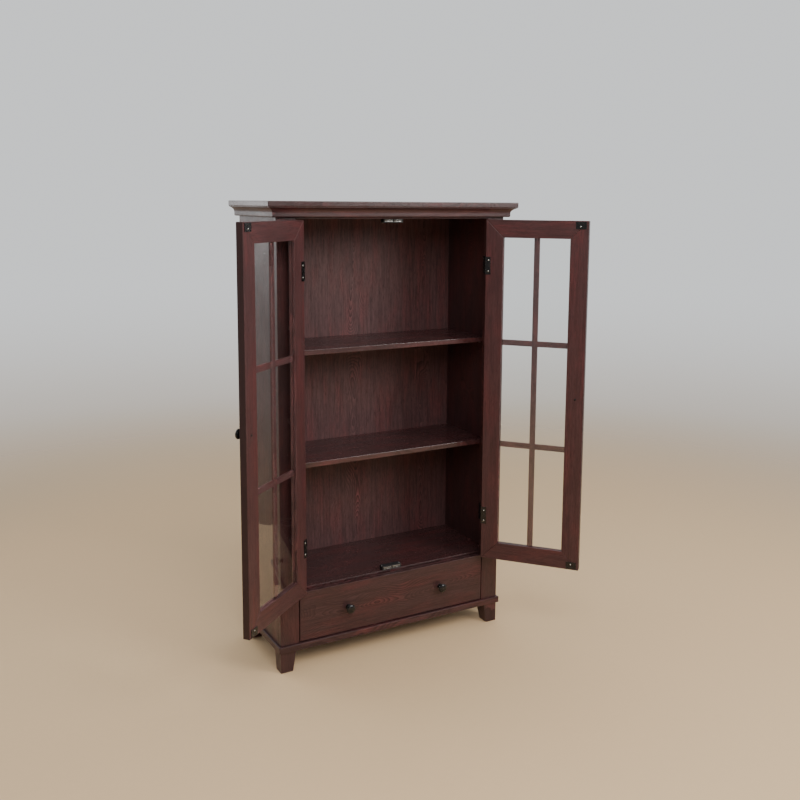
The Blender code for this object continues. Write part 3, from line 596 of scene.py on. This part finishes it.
def add_hinge_screws():
    """Two screws through each leaf of each hinge."""
    count = 0
    for word in SIDES:
        for end in ENDS:
            for node in (f"{word}_hinge_leaf_{end}", f"frame_hinge_leaf_{word}_{end}"):
                low, high = own_box(node)
                place = own_frame(node)
                body = NODES[node]["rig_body"]
                if body == "cabinet":
                    pin = JOINTS[f"{word}_door_hinge"]["pos_m"][0]
                    far = low.x if SIDES[word] < 0 else high.x
                    across = pin + (far - pin) * LEAF_SCREW_PLACE
                else:
                    across = high.x * LEAF_SCREW_PLACE
                for row, sign in (("top", 1), ("bottom", -1)):
                    height = (low.z + high.z) / 2 + sign * LEAF_SCREW_SPREAD
                    point = place @ Vector((across, high.y, height))
                    outward = place.to_3x3() @ Vector((0.0, 1.0, 0.0))
                    screw(f"screw_{node}_{row}", point, outward, body, LEAF_SCREW, count * GOLDEN,
                          "bright_steel")
                    count += 1


def add_strike_screws():
    """One screw holds each strike plate."""
    for word in SIDES:
        place = DOOR_FRAMES[word]
        for end, sign in (("upper", 1), ("lower", -1)):
            low, high = own_box(f"{word}_strike_{end}")
            across = low.x + (high.x - low.x) * STRIKE_SCREW_PLACE[0]
            inward = (high.z - low.z) * STRIKE_SCREW_PLACE[1]
            height = low.z + inward if sign > 0 else high.z - inward
            point = place @ Vector((across, high.y, height))
            outward = place.to_3x3() @ Vector((0.0, 1.0, 0.0))
            screw(f"screw_{word}_strike_{end}", point, outward, f"{word}_door", STRIKE_SCREW,
                  sign * GOLDEN, "bright_steel")


def add_catch_fixings():
    """Each catch has two screws near its ends and two magnets between pole plates."""
    for end, sign in (("upper", -1), ("lower", 1)):
        low, high = own_box(f"catch_{end}")
        middle = (low + high) / 2
        reach = (high.x - low.x) / 2
        face = high.z if sign > 0 else low.z
        for word, side in SIDES.items():
            point = Vector((middle.x + side * (reach - CATCH_SCREW_INSET), middle.y, face))
            screw(f"screw_catch_{end}_{word}", point, (0.0, 0.0, sign), "cabinet", CATCH_SCREW,
                  side * GOLDEN, "bright_steel")
            centre = Vector((middle.x + side * MAGNET_FROM_MIDDLE, low.y, middle.z))
            piece(f"magnet_{end}_{word}", magnet(), Matrix.Translation(centre), "cabinet",
                  "bright_steel", FINISHES["bright_steel"], FINISHES["ferrite"])


def magnet():
    """Two pole plates with a magnet between them, lying in a pocket whose front is at y = 0."""
    shape = bmesh.new()
    plate = (MAGNET_HEIGHT - MAGNET_PLATE) / 2
    layers = [(0, plate, MAGNET_PLATE, MAGNET_LIP), (0, -plate, MAGNET_PLATE, MAGNET_LIP),
              (1, 0.0, MAGNET_HEIGHT - 2 * MAGNET_PLATE, -MAGNET_LIP)]
    for number, centre, thickness, lip in layers:
        size = Matrix.Diagonal((MAGNET_LENGTH, MAGNET_DEPTH + lip, thickness, 1.0))
        where = Matrix.Translation((0.0, (MAGNET_DEPTH - lip) / 2, centre))
        made = bmesh.ops.create_cube(shape, size=1.0, matrix=where @ size)
        edges = {edge for vertex in made["verts"] for edge in vertex.link_edges}
        faces = {face for vertex in made["verts"] for face in vertex.link_faces}
        for face in faces:
            face.material_index = number
        bmesh.ops.bevel(shape, geom=list(edges), offset=MAGNET_ROUND, segments=2, affect="EDGES",
                        profile=0.5)
    return shape


def add_knob_screws():
    """The pan heads of the knobs' screws, inside the doors and the drawer."""
    knobs = {f"{word}_door_knob": f"{word}_meeting_stile" for word in SIDES}
    knobs.update({f"drawer_knob_{word}": "drawer_front" for word in SIDES})
    for number, (knob, board) in enumerate(knobs.items()):
        place = own_frame(knob)
        low, high = own_box(knob)
        middle = (low + high) / 2
        point = place @ Vector((middle.x, own_box(board)[1].y, middle.z))
        outward = place.to_3x3() @ Vector((0.0, 1.0, 0.0))
        screw(f"screw_{knob}", point, outward, NODES[knob]["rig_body"], KNOB_SCREW, number * GOLDEN,
              "black_iron")


def add_cam_covers():
    """Shallow covers with raised rims over the fittings of the fixed boards, under each near its ends."""
    for board in ("lower_shelf", "top_panel", "cabinet_floor"):
        low, high = own_box(board)
        for word, side in SIDES.items():
            edge = high.x if side > 0 else low.x
            for row, depth in (("front", low.y + CAM_FROM_EDGE), ("back", high.y - CAM_FROM_EDGE)):
                point = Vector((edge - side * CAM_FROM_END, depth, low.z))
                place = Matrix.Translation(point) @ facing((0.0, 0.0, -1.0))
                cover = turned(CAM_PROFILE, CAM_RADIUS, CAM_RISE, CAM_SIDES)
                piece(f"cam_cover_{board}_{word}_{row}", cover, place, "cabinet", "mahogany_foil",
                      FINISHES["cap_plastic"])


def nail_places(low, high):
    """Even rows inside the back panel's edges: the level rows whole, the upright ones without corners."""
    left, right = low.x + NAIL_INSET, high.x - NAIL_INSET
    bottom, top = low.z + NAIL_INSET, high.z - NAIL_INSET
    places = []
    for first, last, level in (((left, bottom), (right, bottom), 0), ((left, top), (right, top), 0),
                               ((left, bottom), (left, top), 1), ((right, bottom), (right, top), 1)):
        count = round((last[level] - first[level]) / NAIL_PITCH)
        for step in range(level, count + 1 - level):
            places.append([a + (b - a) * step / count for a, b in zip(first, last)])
    return places


def add_back_nails():
    """A row of nail heads round the edge of the back panel, as one piece."""
    low, high = own_box("back_panel")
    shape = bmesh.new()
    for x, z in nail_places(low, high):
        nail = turned(NAIL_PROFILE, NAIL_RADIUS, NAIL_RISE, NAIL_SIDES)
        place = Matrix.Translation((x, high.y, z)) @ facing((0.0, 1.0, 0.0))
        bmesh.ops.transform(nail, verts=nail.verts, matrix=place)
        scratch = bpy.data.meshes.new("nail")
        nail.to_mesh(scratch)
        nail.free()
        shape.from_mesh(scratch)
        bpy.data.meshes.remove(scratch)
    piece("back_panel_nails", shape, Matrix.Identity(4), "cabinet", "bright_steel",
          FINISHES["bright_steel"])


# ================================================================ stage
def add_camera():
    """A camera placed from the foot of the cabinet's front."""
    stile = own_box("front_stile_left")[0]
    low, high = own_box("top_slab")
    foot = Vector(((low.x + high.x) / 2, stile.y, 0.0))
    camera = bpy.data.objects.new("camera", bpy.data.cameras.new("camera"))
    bpy.context.scene.collection.objects.link(camera)
    camera.data.sensor_width = SENSOR_MM
    camera.data.lens = LENS_MM
    camera.data.shift_x, camera.data.shift_y = LENS_SHIFT
    turn = Matrix.Rotation(math.radians(-CAMERA_TURN), 4, "Z")
    tip = Matrix.Rotation(math.radians(90.0 - CAMERA_DIP), 4, "X")
    roll = Matrix.Rotation(math.radians(CAMERA_ROLL), 4, "Z")
    camera.matrix_world = Matrix.Translation(foot + CAMERA_FROM_FRONT) @ turn @ tip @ roll
    bpy.context.scene.camera = camera


def add_lamp(name, place, target, size, power, tint):
    """A square soft light aimed at a point."""
    lamp = bpy.data.lights.new(name, "AREA")
    lamp.size = size
    lamp.energy = power
    lamp.color = tint
    made = bpy.data.objects.new(name, lamp)
    bpy.context.scene.collection.objects.link(made)
    made.location = place
    made.rotation_euler = (Vector(target) - Vector(place)).to_track_quat("-Z", "Y").to_euler()


def add_room():
    """The glow of a pale room, brightest on the wall behind the cabinet."""
    world = bpy.data.worlds.new("room")
    bpy.context.scene.world = world
    wiring = Wiring(world)
    direction = wiring.node("ShaderNodeTexCoord", {}, {}, 0)
    towards = wiring.dot(direction, WALL_SIDE)
    walls = wiring.mix(wiring.ramp(towards, *WALL_SPREAD), colour(*FRONT_GLOW), colour(*WALL_GLOW))
    height = wiring.node("ShaderNodeSeparateXYZ", {}, {0: direction}, 2)
    glow = wiring.mix(wiring.ramp(height, *HORIZON_SPREAD), colour(*GROUND_GLOW), walls)
    wiring.feed(wiring.tree.nodes["Background"].inputs["Color"], glow)


def add_floor():
    """A plain pale floor that fades out far from the cabinet."""
    shape = bmesh.new()
    bmesh.ops.create_circle(shape, cap_ends=True, segments=FLOOR_SIDES, radius=FLOOR_RADIUS)
    mesh = bpy.data.meshes.new("floor")
    shape.to_mesh(mesh)
    shape.free()
    floor = bpy.data.objects.new("floor", mesh)
    bpy.context.scene.collection.objects.link(floor)
    wiring = new_material("floor")
    mottle = wiring.noise(wiring.place(), 45.0, 4.0, 0.7)
    darker = colour(*(value * FLOOR_MOTTLE for value in FLOOR_COLOUR))
    pale = wiring.mix(mottle, darker, colour(*FLOOR_COLOUR))
    wiring.bump(mottle, 0.002, 0.3)
    mesh.materials.append(wiring.set(Base_Color=pale, Roughness=FLOOR_ROUGHNESS))
    away = wiring.vector("LENGTH", wiring.place(), (0.0, 0.0, 0.0), 1)
    nothing = wiring.node("ShaderNodeBsdfTransparent", {}, {})
    shaders = {0: wiring.ramp(away, *FLOOR_FADE), 1: wiring.shader.outputs[0], 2: nothing}
    wiring.output(wiring.node("ShaderNodeMixShader", {}, shaders))


dress_nodes()
add_hinge_screws()
add_strike_screws()
add_catch_fixings()
add_knob_screws()
add_cam_covers()
add_back_nails()
add_room()
add_floor()
for lamp_values in LAMPS:
    add_lamp(*lamp_values)
add_camera()
